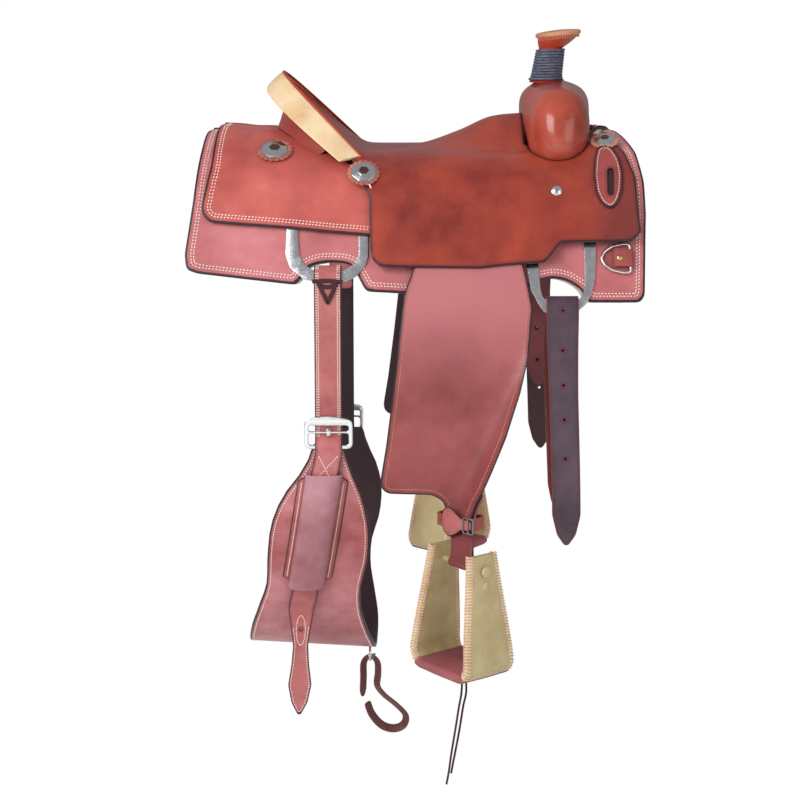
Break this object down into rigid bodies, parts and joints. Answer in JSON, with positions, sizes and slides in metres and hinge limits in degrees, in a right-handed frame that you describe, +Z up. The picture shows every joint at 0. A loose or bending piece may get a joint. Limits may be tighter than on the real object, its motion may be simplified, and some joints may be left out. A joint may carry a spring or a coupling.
{
  "type": "roping saddle",
  "caption": "Western roping saddle with wrapped horn, laced cantle, skirts, fenders, wide stirrups, front billets and a buckled flank cinch, hanging as on a rack",
  "frame": {"origin": "on the mid-plane at the height where the underside of the tree rests on a saddle rack, near the middle of the seat's length", "axes": "+X towards the horse's head (the horn), +Z up, the horse's right side at -Y"},
  "size_m": [0.7307, 0.884, 1.2306],
  "materials": {
    "tree_wood": "bare wooden tree under its covering, mostly hidden",
    "seat_leather": "smooth oiled orange-brown leather with painted dark edges",
    "skirt_leather": "smooth oiled red-brown leather, cream stitching, dark edges",
    "rawhide": "tan rawhide covering with laced seams",
    "horn_leather": "red leather cone over the horn neck",
    "rubber_wrap": "blue-black rubber wrap",
    "fleece": null,
    "fender_leather": "smooth pinkish-brown leather with tan stitching",
    "latigo_leather": "dark burgundy latigo leather with red edges",
    "steel": "bright polished stainless steel"
  },
  "bodies": {
    "saddle": {"tree_bar_right": "tree_wood", "tree_bar_left": "tree_wood", "tree_fork": "tree_wood", "fork_cover": "seat_leather", "tree_cantle": "tree_wood", "cantle_back": "seat_leather", "cantle_binding": "rawhide", "seat": "seat_leather", "ground_seat": "seat_leather", "horn": "horn_leather", "horn_cap": "rawhide", "horn_wrap": "rubber_wrap", "skirt_right": "skirt_leather", "skirt_left": "skirt_leather", "skirt_lining_right": "fleece", "skirt_lining_left": "fleece", "rear_jockey_right": "seat_leather", "rear_jockey_left": "seat_leather", "rear_dee_right": "steel", "rear_dee_left": "steel", "front_dee_right": "steel", "front_dee_left": "steel", "latigo_keeper_right": "skirt_leather", "latigo_keeper_left": "skirt_leather", "concho_rear_right": "steel", "concho_rear_left": "steel", "concho_cantle_right": "steel", "concho_cantle_left": "steel", "concho_front_right": "steel", "concho_front_left": "steel", "seat_screw_right": "steel", "seat_screw_left": "steel", "breast_chape_right": "skirt_leather", "breast_chape_left": "skirt_leather"},
    "breast_right": {"breast_dee_right": "steel"},
    "breast_left": {"breast_dee_left": "steel"},
    "fender_assembly_right": {"fender_right": "fender_leather", "stirrup_leather_right": "latigo_leather", "hobble_strap_right": "fender_leather", "stirrup_bolt_right": "steel"},
    "fender_assembly_left": {"fender_left": "fender_leather", "stirrup_leather_left": "latigo_leather", "hobble_strap_left": "fender_leather", "stirrup_bolt_left": "steel"},
    "stirrup_right": {"stirrup_frame_right": "rawhide", "stirrup_lace_a": "latigo_leather", "stirrup_lace_b": "latigo_leather"},
    "stirrup_left": {"stirrup_frame_left": "rawhide"},
    "billet_front_right": {"off_billet": "latigo_leather"},
    "billet_front_left": {"near_latigo": "latigo_leather"},
    "flank": {"flank_billet_right": "skirt_leather", "flank_billet_left": "skirt_leather", "flank_buckle_right": "steel", "flank_buckle_left": "steel", "flank_cinch": "fender_leather", "billet_sleeve": "fender_leather", "connector_snap": "steel"},
    "tongue_right": {"buckle_tongue_right": "steel"},
    "tongue_left": {"buckle_tongue_left": "steel"},
    "connector": {"connector_strap": "latigo_leather"}
  },
  "joints": [
    {"name": "fender_swing_right", "type": "hinge", "parent": "saddle", "child": "fender_assembly_right", "pos_m": [0.0533, -0.1949, -0.0397], "axis": [0, -0.8944, 0.4472], "range_deg": [-4, 4]},
    {"name": "stirrup_swing_right", "type": "hinge", "parent": "fender_assembly_right", "child": "stirrup_right", "pos_m": [0.047, -0.358, -0.584], "axis": [0.6157, -0.788, 0], "range_deg": [-15, 15]},
    {"name": "billet_swing_right", "type": "hinge", "parent": "saddle", "child": "billet_front_right", "pos_m": [0.204, -0.2725, -0.181], "axis": [1, 0, 0], "range_deg": [-8, 3]},
    {"name": "breast_dee_flip_right", "type": "hinge", "parent": "saddle", "child": "breast_right", "pos_m": [0.3125, -0.2412, -0.119], "axis": [0, 0.4472, 0.8944], "range_deg": [0, 20]},
    {"name": "buckle_tongue_right", "type": "hinge", "parent": "flank", "child": "tongue_right", "pos_m": [-0.1635, -0.2711, -0.3927], "axis": [1, 0, 0], "range_deg": [0, 10]},
    {"name": "fender_swing_left", "type": "hinge", "parent": "saddle", "child": "fender_assembly_left", "pos_m": [0.0533, 0.1949, -0.0397], "axis": [0, -0.8944, -0.4472], "range_deg": [-4, 4]},
    {"name": "stirrup_swing_left", "type": "hinge", "parent": "fender_assembly_left", "child": "stirrup_left", "pos_m": [0.047, 0.358, -0.584], "axis": [0.6157, 0.788, 0], "range_deg": [-15, 15]},
    {"name": "billet_swing_left", "type": "hinge", "parent": "saddle", "child": "billet_front_left", "pos_m": [0.204, 0.2725, -0.181], "axis": [1, 0, 0], "range_deg": [-3, 8]},
    {"name": "breast_dee_flip_left", "type": "hinge", "parent": "saddle", "child": "breast_left", "pos_m": [0.3125, 0.2412, -0.119], "axis": [0, 0.4472, -0.8944], "range_deg": [0, 20]},
    {"name": "buckle_tongue_left", "type": "hinge", "parent": "flank", "child": "tongue_left", "pos_m": [-0.1575, 0.2711, -0.4807], "axis": [1, 0, 0], "range_deg": [-10, 0]},
    {"name": "flank_swing", "type": "hinge", "parent": "saddle", "child": "flank", "pos_m": [-0.163, 0, -0.139], "axis": [0, 1, 0], "range_deg": [-3, 3]},
    {"name": "connector_swing", "type": "hinge", "parent": "flank", "child": "connector", "pos_m": [-0.103, 0, -0.8634], "axis": [0, 1, 0], "range_deg": [-20, 20]}
  ]
}
